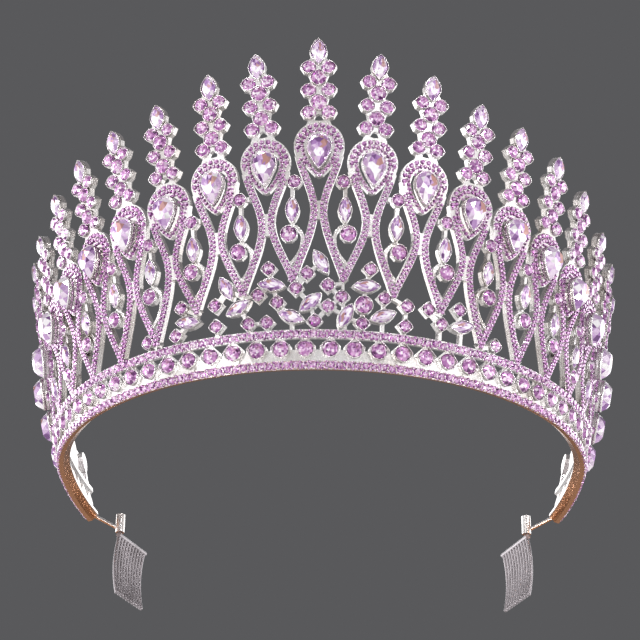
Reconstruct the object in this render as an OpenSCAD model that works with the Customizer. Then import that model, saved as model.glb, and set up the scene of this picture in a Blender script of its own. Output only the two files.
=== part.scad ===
// Pageant crown, open at the back: one soldered metal frame set with cut stones,
// and two wire hair combs that hang below the ends of its band.
// Millimetres. +Z is up, the crown's front faces -Y, and z = 0 is the plane of its lower rim.
// A place on the wall is given as s, the way along the rim from the front (+ to the wearer's
// left), v, the way up the leaning wall, and o, the way out from its face.

/* [Plan] */
// Radius of the front half of the rim
front_r = 72; // [70:0.5:75]
// Radius of the two straighter stretches behind it
back_r = 190; // [160:5:240]
// Length of the rim from the front to either end
half_len = 149; // [147:0.5:150]
// Lean of the wall outwards, in degrees
flare = 11; // [9:0.5:13]

/* [Band] */
// Height of each of the two rails
rail_h = 2.3; // [2:0.1:2.6]
// Thickness of the lower rail, inwards from the wall's face
lower_rail_t = 3.2; // [2.8:0.1:3.6]
// Thickness of the upper rail
upper_rail_t = 2.6; // [2.2:0.1:3]
// Height of the upper rail's top edge up the wall
band_top = 10.1; // [9.8:0.1:10.6]
// Height of the plain strip that joins the lower rail to its row of cups
strip_top = 5.2; // [4.8:0.1:5.4]
// Width of the flat that the rails keep on their lower side, before they slope inwards and up
rail_flat = 1.2; // [1:0.1:1.5]

/* [Wall] */
// Distance between neighbouring spires along the rim
pitch = 12; // [11.8:0.1:12.2]
// Thickness of the cast plates
plate_t = 1.5; // [1.2:0.1:1.7]
// Depth of the plates' front behind the wall's face
plate_in = 0.5; // [0.4:0.1:0.7]
// Width of the two bars that run down from each halo
bar_w = 1.9; // [1.6:0.1:2.1]
// Radius of a halo's outer arch
arch_r = 6.4; // [6.2:0.1:6.6]
// Height of the cup that lifts a pear stone off its halo
cup_h = 1.8; // [1.5:0.1:2.4]
// Width of the plain wires: stems and scrolls
wire_w = 0.9; // [0.8:0.1:1.1]

/* [Stones] */
// Width of a pear stone
pear_w = 6; // [5.6:0.1:6.2]
// Height of a pear stone
pear_h = 8.8; // [8.4:0.1:9]
// Width of a navette on a spire's tip
tip_w = 4; // [3.6:0.1:4.2]
// Height of a navette on a spire's tip
tip_h = 6.6; // [6.2:0.1:6.8]
// Diameter of the round stones of the spires and the band
round_d = 3.9; // [3.6:0.1:4]
// Diameter of the small round stones of the garland
small_d = 3; // [2.8:0.1:3.2]
// Diameter of the stone that tops each lens
drop_d = 3.1; // [2.9:0.1:3.4]
// Diameter of the garland's one large round stone
large_d = 4.3; // [4:0.1:4.5]
// Width of the marquise stones
marquise_w = 3.1; // [2.8:0.1:3.3]
// Length of the marquise stones
marquise_l = 6.7; // [6.2:0.1:6.8]
// Height of a pear stone above its cup
pear_t = 2.5; // [2:0.1:2.8]
// Height of every other stone above the plates
stone_t = 1.3; // [1:0.1:1.5]
// Gap between a stone and the metal behind it
stone_gap = 0.2; // [0.12:0.01:0.25]
// Width of a stone's flat table, as a share of the stone's own width
table_share = 0.58; // [0.5:0.01:0.66]

/* [Combs] */
// Number of teeth of a comb
comb_teeth = 10; // [8:1:11]
// Length of a comb's spine
comb_l = 16; // [14:0.5:17]
// Length of a tooth
tooth_l = 17; // [15:0.5:19]
// Diameter of a comb's wire
comb_wire = 1.2; // [1:0.1:1.4]

/* [Hidden] */
$fn = 96;

// Heights up the wall of the pear stones' centres, from the middle spire (0) to the last one (11),
// and of the end stone that follows them.
HALO_V = [56, 52, 48.5, 44.5, 42.5, 39.5, 36, 31.5, 27, 23, 18.5, 14.5, 17.5];
// Lengths of the spires above those stones, as shares of the usual length.
SPIRE_K = [1, 1.02, 1.01, 0.99, 0.98, 0.99, 0.97, 0.93, 0.99, 1.03, 0.98, 1];
// Heights of the points where neighbouring bays' bars meet, from the middle outwards.
POINT_V = [22.5, 19.5, 17, 11, 10, 9.5, 9.5, 9.5, 9.5, 9.5, 9.5, 9.5];
// Sideways leans of the hand-set spires in degrees, from the middle one outwards.
LEAN_LEFT = [0.7, 3.5, 0.5, 2.5, 4.5, 4.8, 4.5, 5.5];
LEAN_RIGHT = [0.7, -2, -1.5, -1, 1, -0.3, 1, 0];
last_lean = 7;
last_spire = 11;
last_crescent = 3;
last_marquise = 7;
last_scroll = 6;
last_drop = 9;

// Garland between the lens points and the upper rail. Columns: s, v, turn of the long axis, kind.
SMALL = 0;
LONG = 1;
LARGE = 2;
GARLAND = [
    [-44.5, 12.4, 0, SMALL], [-36, 12.2, 0, SMALL], [-34, 19, 0, SMALL], [-32.5, 15, -10, LONG],
    [-25, 18, 0, SMALL], [-25, 12.6, 0, SMALL], [-22, 22, -65, LONG], [-19.2, 16.6, 25, LONG],
    [-16.8, 12.2, 0, SMALL], [-14.3, 19.4, 0, SMALL], [-12.3, 12.2, 0, SMALL],
    [-11.6, 26, 0, SMALL], [-11, 21.8, -8, LONG], [-9.7, 17.2, 0, SMALL], [-6.4, 13.4, -20, LONG],
    [-5.2, 20.6, 0, SMALL], [-2.6, 24.4, 0, SMALL], [-1.8, 17, 40, LONG], [-0.8, 12.2, 0, SMALL],
    [0.6, 27.4, -60, LONG], [2.3, 21.4, 0, SMALL], [2.4, 16, 0, SMALL], [5.6, 18.4, 0, SMALL],
    [6.6, 13.6, 65, LONG], [10.6, 12, 0, SMALL], [10.9, 16.7, 0, LARGE], [11.4, 21.6, 3, LONG],
    [12.2, 26, 0, SMALL], [15.8, 18.8, 0, SMALL], [15.6, 14.2, 20, LONG], [21.4, 17.4, 0, SMALL],
    [21.2, 12.3, 0, SMALL], [26.8, 17.6, 0, SMALL], [30.4, 14.2, 0, SMALL], [35, 19, 0, SMALL],
    [36.2, 14.9, 15, LONG], [46.2, 12.4, 0, SMALL]];
stem_reach = 4.9;

quarter = front_r * PI / 2;
band_v0 = band_top - rail_h;
plate_back = -plate_in - plate_t;
stone_o = -plate_in + stone_gap;
row_v = 5.3;
row_pitch = pitch / 2;
row_half = floor(half_len / row_pitch + 0.2);
cup_rim = 0.5;

// Places on the wall

function bend_r(s) = abs(s) <= quarter ? front_r : back_r;
function heading(s) = sign(s) * (abs(s) <= quarter ? abs(s) / front_r * 180 / PI
    : 90 + (abs(s) - quarter) / back_r * 180 / PI);
function rim_x(s) = (abs(s) <= quarter ? front_r * sin(heading(s))
    : sign(s) * (front_r - back_r) + back_r * sin(heading(s)));
function rim_y(s) = -bend_r(s) * cos(heading(s));
// Widening of the leaning wall at height v, against the rim below it.
function fan(s, v) = 1 + v * sin(flare) / bend_r(s);

// Puts a flat drawing's x along the wall, its y up the wall and its z out of the wall.
module on_wall(s, v = 0, o = 0)
    translate([rim_x(s), rim_y(s), 0]) rotate([0, 0, heading(s)]) rotate([90 + flare, 0, 0])
        translate([0, v, o]) children();

// Outlines

function mirrored(half) = concat(half, [for (i = [len(half) - 1:-1:0])
    if (abs(half[i].x) > 0.01) [-half[i].x, half[i].y]]);
function scaled(points, w, h) = [for (p = points) [p.x * w, p.y * h]];
function bezier(a, b, c, d, n) = [for (i = [0:n]) let (t = i / n, u = 1 - t)
    u * u * u * a + 3 * u * u * t * b + 3 * u * t * t * c + t * t * t * d];
function unit(v) = v / norm(v);
function along(p, i) = unit(p[min(i + 1, len(p) - 1)] - p[max(i - 1, 0)]);
function stroke(p, w) = concat(
    [for (i = [0:len(p) - 1]) let (d = along(p, i)) p[i] + [d.y, -d.x] * w / 2],
    [for (i = [len(p) - 1:-1:0]) let (d = along(p, i)) p[i] - [d.y, -d.x] * w / 2]);

// A pear with its point down, one unit wide and one high.
PEAR = mirrored([[0, 0.49], [0.25, 0.44], [0.43, 0.32], [0.5, 0.15], [0.45, -0.03],
    [0.3, -0.25], [0.13, -0.43], [0, -0.52]]);
// A boat shape, one unit wide and one high.
NAVETTE = mirrored([[0, 0.5], [0.22, 0.38], [0.42, 0.19], [0.5, 0], [0.42, -0.19],
    [0.22, -0.38], [0, -0.5]]);
ROUND = [for (a = [22.5:45:360]) [cos(a), sin(a)] / 2];

// Half of a spire's outline, down from its tip: navette, then three pairs of pointed cups
// with a round cup below each of the upper two. The origin is the pear stone's centre.
tip_v = 27.2;
round_v = [20.2, 13.5];
point_v = [23, 16.8, 10.8];
cup_x = 2.4;
spire_x = 4.7;
function pointed_cup(v) = [[cup_x, v + 2], [3.5, v + 1.6], [spire_x, v + 0.1],
    [3.7, v - 1.5], [cup_x + 0.2, v - 2]];
SPIRE = mirrored(concat(
    [for (p = scaled([[0, 0.5], [0.22, 0.4], [0.42, 0.21], [0.5, 0], [0.42, -0.2]],
        tip_w + 0.6, tip_h + 0.6)) p + [0, tip_v]],
    pointed_cup(point_v[0]), [[2.25, round_v[0]], [1.9, round_v[0] - 1.2]],
    pointed_cup(point_v[1]), [[2.25, round_v[1]], [1.9, round_v[1] - 1.2]],
    pointed_cup(point_v[2]), [[2.7, 8.7], [3.2, 7.6], [3.2, 6.6]]));
LEG_GAP = mirrored([[0, 10.5], [0.8, 10], [1.3, 9.2], [1.1, 8.7], [0, 8.6]]);

// A halo: the outer arch, and below it the inner ring's point between the two bars.
arch_v = 2;
arch_low = -20;
HALO = concat(
    [for (a = [arch_low:(180 - 2 * arch_low) / 18:180 - arch_low]) [0, arch_v]
        + arch_r * [cos(a), sin(a)]],
    [[-5.4, -2.2], [-3.9, -2.4], [-2.7, -4.2], [-1, -6], [0, -6.4], [1, -6], [2.7, -4.2],
        [3.9, -2.4], [5.4, -2.2]]);

// The way of a bar from the halo's side (top) by the waist to the lens point (foot). Where a bar
// is shorter than the tallest ones, its waist rises with it.
bar_top = [5.2, -0.5];
waist = [1.15, -15];
tall_bar = 32;
foot_bend = [-2.4, 7];
web_h = 4.8;
last_web = 6;
bar_steps = 6;
function bar_k(foot) = min(1, -foot.y / tall_bar);
function bar_way(foot) = let (k = bar_k(foot), w = [waist.x, waist.y * k]) concat(
    bezier(bar_top, [4.4, w.y / 3], [w.x, w.y * 2 / 3], w, bar_steps),
    [for (i = [1:bar_steps]) bezier(w, [w.x, w.y * 4 / 3], foot + [foot_bend.x, foot_bend.y * k], foot,
        bar_steps)[i]]);

// Pieces of a bay, drawn flat

function halo_v(i) = HALO_V[abs(i)];
function lean(i) = abs(i) > last_lean ? 0 : i <= 0 ? LEAN_LEFT[-i] : LEAN_RIGHT[i];
function spire_k(i) = SPIRE_K[abs(i)];

module bar_2d(i, side) {
    j = (i == 0 || sign(i) == side) ? abs(i) : abs(i) - 1;
    v = POINT_V[j] - halo_v(i);
    foot = [pitch / 2 * fan(i * pitch, POINT_V[j]) + 0.25, v];
    scale([side, 1]) {
        polygon(stroke(bar_way(foot), bar_w));
        // Its half of the web that joins the bay's two bars at their waist.
        if (abs(i) <= last_web)
            translate([0, waist.y * bar_k(foot)]) square([2 * waist.x, web_h * bar_k(foot)], center = true);
    }
}

// The pear stones of the bays next to the middle stand off their halo on the side towards it.
module crescent(side) difference() {
    polygon(scaled(PEAR, pear_w + 1.3, pear_h + 1.4));
    translate([side * 1.1, 0.3]) polygon(scaled(PEAR, pear_w + 1.3, pear_h + 1.8));
}

module spire_2d(i) {
    difference() {
        union() {
            rotate(lean(i)) polygon(scaled(SPIRE, 1, spire_k(i)));
            polygon(HALO);
        }
        if (abs(i) <= 3) rotate(lean(i)) polygon(LEG_GAP);
        if (i != 0 && abs(i) <= last_crescent) crescent(sign(i));
    }
    if (abs(i) < 11) for (side = [-1, 1]) bar_2d(i, side);
}

module row_cup_2d()
    polygon(mirrored([[0, 3.4], [0.5, 2.6], [2.55, 0.5], [2.45, -0.4], [1.6, -1.7], [1, -3.3]]));

// Two cups of the band's row, one on each side of the bay's middle.
module row_2d(i)
    for (side = [-1, 1]) if (abs(i * pitch + side * row_pitch / 2) < half_len)
        translate([side * row_pitch / 2 * fan(i * pitch, row_v), row_v]) row_cup_2d();

function in_bay(i, s) = round(s / pitch) == i;
function local(i, g) = [(g[0] - i * pitch) * fan(g[0], g[1]), g[1]];
function joints(i) = [for (side = [-1, 1]) let (j = (i == 0 || sign(i) == side) ? abs(i) : abs(i) - 1)
    [side * pitch / 2 * fan(i * pitch, POINT_V[j]), POINT_V[j] - 0.5]];

module garland_cup_2d(kind) {
    if (kind == SMALL) rotate(45) square(small_d + 0.1, center = true);
    if (kind == LARGE) circle(d = large_d + 0.4, $fn = 12);
    if (kind == LONG) polygon(scaled([for (p = NAVETTE) [p.y, p.x]], marquise_l + 0.7, marquise_w + 0.6));
}

module garland_2d(i) {
    mine = [for (g = GARLAND) if (in_bay(i, g[0])) g];
    near = [for (g = GARLAND) if (abs(g[0] - i * pitch) < pitch * 0.75) local(i, g)];
    ends = concat(near, joints(i));
    for (g = mine) translate(local(i, g)) rotate(g[2]) garland_cup_2d(g[3]);
    // A stem that leaves the bay is cut at its border, where the next bay's half of it begins.
    border = pitch / 2 * fan(i * pitch, 2 * band_top) + 0.15;
    intersection() {
        translate([-border, 0]) square([2 * border, 4 * band_top]);
        for (g = mine) {
            p = local(i, g);
            for (q = ends) if (q != p && norm(q - p) < stem_reach + 0.4 && (q.x > p.x || len([for (h = mine)
                if (local(i, h) == q) 1]) == 0)) polygon(stroke([p, q], wire_w));
            if (p.y < 15) polygon(stroke([p, [p.x, band_top - 1]], wire_w));
        }
    }
}

module bay(i) on_wall(i * pitch, 0, plate_back) linear_extrude(plate_t) {
    if (abs(i) <= last_spire) translate([0, halo_v(i)]) spire_2d(i);
    row_2d(i);
    if (abs(i) <= 4) garland_2d(i);
}

// What hangs in the lens between two bays

drop_in = 5.6;
function drop_v(j) = (HALO_V[j] + HALO_V[j + 1]) / 2 - drop_in;
function lens_k(j) = min(1, (drop_v(j) - POINT_V[j]) / 25);
marquise_dv = 7.3;
scroll_dv = 13.6;
scroll_x = 0.9;
SCROLL = [[-2.2, -12.2], [-0.7, -11.5], [1.05, -11.8], [2.15, -13.1], [2.55, -14.7], [2.35, -16.7],
    [1.65, -18.6], [0.45, -20.3], [-0.7, -21.5], [-1.9, -22.4]];
// The first lens on each side is narrow on top, so its drop sits towards the middle spire.
function drop_x(j) = j == 0 ? 0.6 : 0;
// A lens's round stone lies lower the taller the lens is, but always clear below its marquise.
function scroll_y(j) = -max(scroll_dv * lens_k(j), marquise_dv + (marquise_l + round_d) / 2 + stone_gap);
function scroll_way(j) = [for (p = SCROLL) [p.x, scroll_y(j) + (p.y + scroll_dv) * lens_k(j)]];

module lens_2d(j) {
    translate([drop_x(j), 0]) polygon(scaled(ROUND, drop_d + cup_rim, drop_d + cup_rim));
    translate([-2.4, -0.6]) square([4.8, 1.2]);
    if (j <= last_marquise) {
        translate([-wire_w / 2, -4.6]) square([wire_w, 3.8]);
        translate([0, -marquise_dv]) polygon(scaled(NAVETTE, marquise_w + 0.6, marquise_l + 0.8));
    }
    if (j <= last_scroll) {
        translate([-scroll_x, scroll_y(j)]) polygon(scaled(ROUND, round_d + 0.4, round_d + 0.4));
        polygon(stroke(scroll_way(j), wire_w));
        translate([-wire_w / 2, -11.9]) square([wire_w, 2]);
    }
}

module lens(j, side) on_wall(side * (j + 0.5) * pitch, drop_v(j), plate_back)
    linear_extrude(plate_t) scale([-side, 1]) lens_2d(j);

// The cup of a pear stone, h high: a lip as wide as the stone and its rim on a narrower foot.
cup_lip = 1.1;
cup_foot = 0.78;
module pear_cup(h) {
    linear_extrude(h) polygon(scaled(PEAR, cup_foot * pear_w, cup_foot * pear_h));
    translate([0, 0, h - cup_lip]) linear_extrude(cup_lip)
        polygon(scaled(PEAR, pear_w + cup_rim, pear_h + cup_rim));
}

// Rails

// Section of a rail t thick: x is inwards from the wall's face, y up the wall.
module rail_section(t) polygon([[0, 0], [-rail_flat, 0], [-t, (t - rail_flat) * rail_slope],
    [-t, rail_h], [0, rail_h]]);
rail_slope = 0.7;
module band_section() {
    rail_section(lower_rail_t);
    translate([-1.9, rail_h / 2]) square([0.9, strip_top - rail_h / 2]);
    translate([0, band_v0]) rail_section(upper_rail_t);
}
// The section turned to the wall's lean and set at a radius.
module leaned(r) translate([r, 0]) rotate(-flare) band_section();

module back_rails() translate([front_r - back_r, 0, 0])
    rotate_extrude(angle = (half_len - quarter) / back_r * 180 / PI) leaned(back_r);
module rails() {
    rotate([0, 0, 180]) rotate_extrude(angle = 180) leaned(front_r);
    back_rails();
    mirror([1, 0, 0]) back_rails();
}

// Band ends: an upright pear cup on a round foot, and the arm and sleeve of a comb

end_s = half_len - 2.4;
sleeve_d = 2.6;
sleeve_l = 5.4;
post_gap = 0.15;
arm_d = 1;
// The arm starts inside the lower rail's end and reaches inwards to the sleeve.
arm_root = [rim_x(half_len) - 1.2, rim_y(half_len) - 1.5, 0.7 * rail_h];
arm_reach = 8.6;
comb_x = arm_root.x - arm_reach;
comb_y = arm_root.y - 1.7;
sleeve_z = -1.8;
end_cup_h = 1.4;

module rod(a, b, d) translate(a) rotate([0, acos((b - a).z / norm(b - a)), atan2((b - a).y, (b - a).x)])
    cylinder(h = norm(b - a), d = d, $fn = 24);

module band_end(side) {
    on_wall(side * end_s, HALO_V[12], plate_back) pear_cup(plate_t + end_cup_h);
    on_wall(side * end_s, 0, plate_back) linear_extrude(plate_t) {
        translate([-0.7, band_top - 1]) square([1.4, 5]);
        translate([0, band_top + 0.9]) circle(d = 2.6);
    }
    rod([side * arm_root.x, arm_root.y, arm_root.z], [side * (comb_x + 1), comb_y, sleeve_z - 1.2], arm_d);
    translate([side * comb_x, comb_y, sleeve_z - sleeve_l / 2]) difference() {
        cylinder(h = sleeve_l, d = sleeve_d);
        translate([0, 0, -1]) cylinder(h = sleeve_l + 2, d = comb_wire + 2 * post_gap);
    }
}

module frame() color("silver") {
    rails();
    for (i = [-12:12]) bay(i);
    for (i = [-last_spire:last_spire]) on_wall(i * pitch, halo_v(i), -plate_in - 0.3)
        pear_cup(cup_h + 0.3);
    for (j = [0:last_drop], side = [-1, 1]) lens(j, side);
    for (side = [-1, 1]) band_end(side);
}

// Combs

tooth_bow_r = 40;
comb_turn = 70;
module tooth() {
    half = tooth_l / 2 / tooth_bow_r * 180 / PI;
    translate([-tooth_bow_r * cos(half), 0, -tooth_l / 2]) rotate([90, 0, 0]) rotate([0, 0, -half])
        rotate_extrude(angle = 2 * half) translate([tooth_bow_r, 0]) circle(d = comb_wire, $fn = 24);
    translate([0, 0, -tooth_l]) sphere(d = comb_wire, $fn = 24);
}

function spine(side, d) = [-side * d * cos(comb_turn), d * sin(comb_turn), 0];
module comb(side) color("silver") translate([side * comb_x, comb_y, sleeve_z - sleeve_l / 2 - 1]) {
    cylinder(h = sleeve_l + 1.3, d = comb_wire, $fn = 24);
    for (k = [0:comb_teeth - 1])
        translate(spine(side, k * comb_l / (comb_teeth - 1))) scale([side, 1, 1]) tooth();
    rod(spine(side, -comb_wire * 0.75), spine(side, comb_l + comb_wire * 0.75), comb_wire + 0.2);
}

// Stones

// A cut stone on its flat back: facets that rise from the given outline to a smaller table.
module cut(outline, h) hull() linear_extrude(height = h, scale = table_share) polygon(outline);
module pear_stone(i) color("plum") {
    end = abs(i) > last_spire;
    on_wall(end ? sign(i) * end_s : i * pitch, halo_v(i),
        (end ? end_cup_h : cup_h) + stone_o)
        cut(scaled(PEAR, pear_w, pear_h), pear_t);
}
module tip_stones() color("plum") for (i = [-last_spire:last_spire])
    on_wall(i * pitch, halo_v(i), stone_o) rotate(lean(i)) translate([0, tip_v * spire_k(i)])
        cut(scaled(NAVETTE, tip_w, tip_h), stone_t);
module spire_stones() color("plum") for (i = [-last_spire:last_spire], v = round_v)
    on_wall(i * pitch, halo_v(i), stone_o) rotate(lean(i)) translate([0, v * spire_k(i)])
        cut(scaled(ROUND, round_d, round_d), stone_t);
module drop_stones() color("plum") for (j = [0:last_drop], side = [-1, 1]) {
    on_wall(side * (j + 0.5) * pitch, drop_v(j), stone_o) translate([-side * drop_x(j), 0])
        cut(scaled(ROUND, drop_d, drop_d), stone_t);
    if (j <= last_scroll) on_wall(side * (j + 0.5) * pitch, drop_v(j), stone_o)
        translate([side * scroll_x, scroll_y(j)]) cut(scaled(ROUND, round_d, round_d), stone_t);
}
module hanging_stones() color("plum") for (j = [0:last_marquise], side = [-1, 1])
    on_wall(side * (j + 0.5) * pitch, drop_v(j) - marquise_dv, stone_o)
        cut(scaled(NAVETTE, marquise_w, marquise_l), stone_t);
module garland_stones() color("plum") for (g = GARLAND) {
    i = round(g[0] / pitch);
    on_wall(i * pitch, 0, stone_o) translate(local(i, g)) rotate(g[2]) {
        if (g[3] == SMALL) cut(scaled(ROUND, small_d, small_d), stone_t);
        if (g[3] == LARGE) cut(scaled(ROUND, large_d, large_d), stone_t);
        if (g[3] == LONG) rotate(90) cut(scaled(NAVETTE, marquise_w, marquise_l), stone_t);
    }
}
module band_stones() color("plum") for (k = [0:row_half - 1], side = [-1, 1]) {
    i = side * round((k + 0.5) * row_pitch / pitch + 0.001);
    s = side * (k + 0.5) * row_pitch;
    on_wall(i * pitch, row_v, stone_o) translate([(s - i * pitch) * fan(s, row_v), 0])
        cut(scaled(ROUND, round_d, round_d), stone_t);
}

frame();
comb(1);  // comb_left
comb(-1);  // comb_right
tip_stones();
spire_stones();
drop_stones();
hanging_stones();
garland_stones();
band_stones();
pear_stone(0);  // pear_0
pear_stone(1);  // pear_l1
pear_stone(2);  // pear_l2
pear_stone(3);  // pear_l3
pear_stone(4);  // pear_l4
pear_stone(5);  // pear_l5
pear_stone(6);  // pear_l6
pear_stone(7);  // pear_l7
pear_stone(8);  // pear_l8
pear_stone(9);  // pear_l9
pear_stone(10);  // pear_l10
pear_stone(11);  // pear_l11
pear_stone(12);  // pear_l12
pear_stone(-1);  // pear_r1
pear_stone(-2);  // pear_r2
pear_stone(-3);  // pear_r3
pear_stone(-4);  // pear_r4
pear_stone(-5);  // pear_r5
pear_stone(-6);  // pear_r6
pear_stone(-7);  // pear_r7
pear_stone(-8);  // pear_r8
pear_stone(-9);  // pear_r9
pear_stone(-10);  // pear_r10
pear_stone(-11);  // pear_r11
pear_stone(-12);  // pear_r12
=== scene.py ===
# %% [markdown]
# # Dressing a pageant crown
# The crown is one piece of pierced, silver-plated metal that carries hundreds of lilac crystals.
# The metal and the main stones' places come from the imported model, which is loaded first and never
# moved. This lesson adds what makes it jewellery: cut facets, the pavé, the bezels that hold each
# stone, and the two finishes, plated silver and foil-backed crystal.

# %% Load the crown
import math

import bpy
import numpy as np
from mathutils import Matrix, Vector


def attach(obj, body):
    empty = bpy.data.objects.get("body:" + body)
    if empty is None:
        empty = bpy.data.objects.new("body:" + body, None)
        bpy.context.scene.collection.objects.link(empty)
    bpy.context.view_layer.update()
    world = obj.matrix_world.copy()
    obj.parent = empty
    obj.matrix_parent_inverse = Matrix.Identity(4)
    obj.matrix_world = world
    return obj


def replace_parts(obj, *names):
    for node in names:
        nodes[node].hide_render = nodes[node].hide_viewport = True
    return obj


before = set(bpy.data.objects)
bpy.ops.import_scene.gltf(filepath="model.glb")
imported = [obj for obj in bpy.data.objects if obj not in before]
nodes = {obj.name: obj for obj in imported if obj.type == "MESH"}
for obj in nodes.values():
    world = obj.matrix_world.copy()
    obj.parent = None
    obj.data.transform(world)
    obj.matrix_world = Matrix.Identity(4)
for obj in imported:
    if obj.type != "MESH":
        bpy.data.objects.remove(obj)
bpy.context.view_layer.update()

# %% [markdown]
# ## The leaning wall
# Everything on the crown sits on one wall that curves round the head and leans outwards. A maker
# would draw the wall flat and bend it. The same is done here: a place is a distance s along the rim,
# then x along, y up and o out of the flat plate that stands at s. All drawings are in millimetres.

# %% Places on the wall
# Millimetre in metres; radii of the rim's front and back arcs, the wall's outward lean; distance
# between bays and half the band's length; face of the plates, behind the wall.
MM = 0.001
FRONT_R, BACK_R, FLARE = 72.0, 190.0, math.radians(11)
QUARTER = FRONT_R * math.pi / 2
PITCH, HALF_LEN = 12.0, 149.0
PLATE_O = -0.5


def wall_axes(s):
    """Rim point and the along, up and out directions at s: an arc of FRONT_R, then arcs of BACK_R."""
    s = np.asarray(s, float)
    side, reach = np.sign(s), np.abs(s)
    turn = side * (np.minimum(reach, QUARTER) / FRONT_R + np.maximum(reach - QUARTER, 0) / BACK_R)
    far = reach > QUARTER
    radius = np.where(far, BACK_R, FRONT_R)
    cx = np.where(far, side * (FRONT_R - BACK_R), 0.0)
    zero = np.zeros_like(turn)
    rim = np.stack([cx + radius * np.sin(turn), -radius * np.cos(turn), zero], -1)
    along = np.stack([np.cos(turn), np.sin(turn), zero], -1)
    tilt, rise = math.sin(FLARE), math.cos(FLARE)
    up = np.stack([np.sin(turn) * tilt, -np.cos(turn) * tilt, zero + rise], -1)
    out = np.stack([np.sin(turn) * rise, -np.cos(turn) * rise, zero - tilt], -1)
    return rim, along, up, out


def fan(s, v):
    """How much wider the leaning wall is at height v than at the rim below."""
    radius = np.where(np.abs(s) <= QUARTER, FRONT_R, BACK_R)
    return 1 + np.asarray(v, float) * math.sin(FLARE) / radius


print("front of the rim at", wall_axes(0.0)[0], "end at", wall_axes(HALF_LEN)[0])

# %% [markdown]
# ## The bays
# Twenty-three spires stand a fixed pitch apart and fall away from the middle. A short table gives
# each bay's height, stretch and the small sideways lean that hand soldering leaves. The rest of the
# drawing, the outlines and the ways of bars and scrolls, is the same for every bay.

# %% Heights, leans and outlines of the bays
# Bays and the lenses between them count from the middle. V is a height above the rim, DV a depth
# below a lens's drop and K a stretch; a spire's own heights are above its pear's centre. Lenses and
# bars shorter than a full one are drawn smaller.
LAST_SPIRE, LAST_MARQUISE, LAST_SCROLL, LAST_DROP = 11, 7, 6, 9
HALO_V = np.array([56, 52, 48.5, 44.5, 42.5, 39.5, 36, 31.5, 27, 23, 18.5, 14.5, 17.5])
SPIRE_K = np.array([1, 1.02, 1.01, 0.99, 0.98, 0.99, 0.97, 0.93, 0.99, 1.03, 0.98, 1])
POINT_V = np.array([22.5, 19.5, 17, 11, 10] + [9.5] * 7)
LEAN_LEFT = [0.7, 3.5, 0.5, 2.5, 4.5, 4.8, 4.5, 5.5] + [0] * 4
LEAN_RIGHT = [0.7, -2, -1.5, -1, 1, -0.3, 1, 0] + [0] * 4
TIP_V, ROUND_V, KITE_V, KITE_X = 27.2, [20.2, 13.5], [23, 16.8, 10.8], 2.4
DROP_IN, MARQUISE_DV, SCROLL_DV = 5.6, 7.3, 13.6
BAND_TOP, RAIL_H, ROW_V, ROW_PITCH, ROW_HALF = 10.1, 2.3, 5.3, 6.0, 25
FULL_LENS, FULL_BAR = 25, 32
BAYS = np.arange(-LAST_SPIRE, LAST_SPIRE + 1)


def lean(i):
    """Sideways lean of bay i in radians, positive towards the wearer's right."""
    return math.radians((LEAN_LEFT if i <= 0 else LEAN_RIGHT)[abs(i)])


def spire_point(i, x, y):
    """A point of bay i's spire, turned by its lean about the pear stone's centre."""
    a = lean(i)
    y = y * SPIRE_K[abs(i)]
    return x * math.cos(a) - y * math.sin(a), HALO_V[abs(i)] + x * math.sin(a) + y * math.cos(a)


def drop_v(j):
    """Height of the drop in lens j, which lies between bays j and j + 1."""
    return (HALO_V[j] + HALO_V[j + 1]) / 2 - DROP_IN


def lens_k(j):
    """How tall lens j is beside a full one, 1 at most."""
    return min(1.0, (drop_v(j) - POINT_V[j]) / FULL_LENS)


def mirrored(half):
    """Closed outline from its right half, listed from the top down."""
    half = np.array(half, float)
    return np.vstack([half, half[half[:, 0] > 0][::-1] * [-1, 1]])


PEAR = mirrored([[0, 0.49], [0.25, 0.44], [0.43, 0.32], [0.5, 0.15], [0.45, -0.03],
                 [0.3, -0.25], [0.13, -0.43], [0, -0.52]])
NAVETTE = mirrored([[0, 0.5], [0.22, 0.38], [0.42, 0.19], [0.5, 0], [0.42, -0.19],
                    [0.22, -0.38], [0, -0.5]])
ROUND = 0.5 * np.stack([np.sin(np.arange(16) * math.pi / 8), np.cos(np.arange(16) * math.pi / 8)], 1)
print("lens points at", [round(float(POINT_V[j]), 1) for j in range(5)], "mm above the rim")

# %% [markdown]
# ## From arrays to meshes
# Thousands of stones would be slow to build one by one. One unit drawing of each kind is made, and
# all its copies are placed at once by multiplying arrays. A seat says where a copy goes: s, x, y and
# o on the wall, a turn in radians, and its width, length and thickness.

# %% Mesh helpers
pieces = []


def mesh_piece(name, points, faces, material, face_marks=None, smooth=False):
    """Makes one object from an array of points and a list of face arrays, each m faces by k corners."""
    mesh = bpy.data.meshes.new(name)
    mesh.vertices.add(len(points))
    mesh.vertices.foreach_set("co", np.ascontiguousarray(points, np.float32).ravel())
    corners = np.concatenate([f.ravel() for f in faces])
    sizes = np.concatenate([np.full(len(f), f.shape[1]) for f in faces])
    mesh.loops.add(len(corners))
    mesh.loops.foreach_set("vertex_index", corners.astype(np.int32))
    mesh.polygons.add(len(sizes))
    mesh.polygons.foreach_set("loop_start", (np.cumsum(sizes) - sizes).astype(np.int32))
    mesh.polygons.foreach_set("use_smooth", np.full(len(sizes), smooth))
    mesh.update(calc_edges=True)
    for mark, values in (face_marks or {}).items():
        mesh.attributes.new(mark, "FLOAT", "FACE").data.foreach_set("value", values.astype(np.float32))
    mesh.materials.append(material)
    piece = bpy.data.objects.new(name, mesh)
    bpy.context.scene.collection.objects.link(piece)
    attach(piece, "root")
    pieces.append(piece)
    print(f"{name}: {len(points)} points, {int((sizes - 2).sum())} triangles")
    return piece


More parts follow.
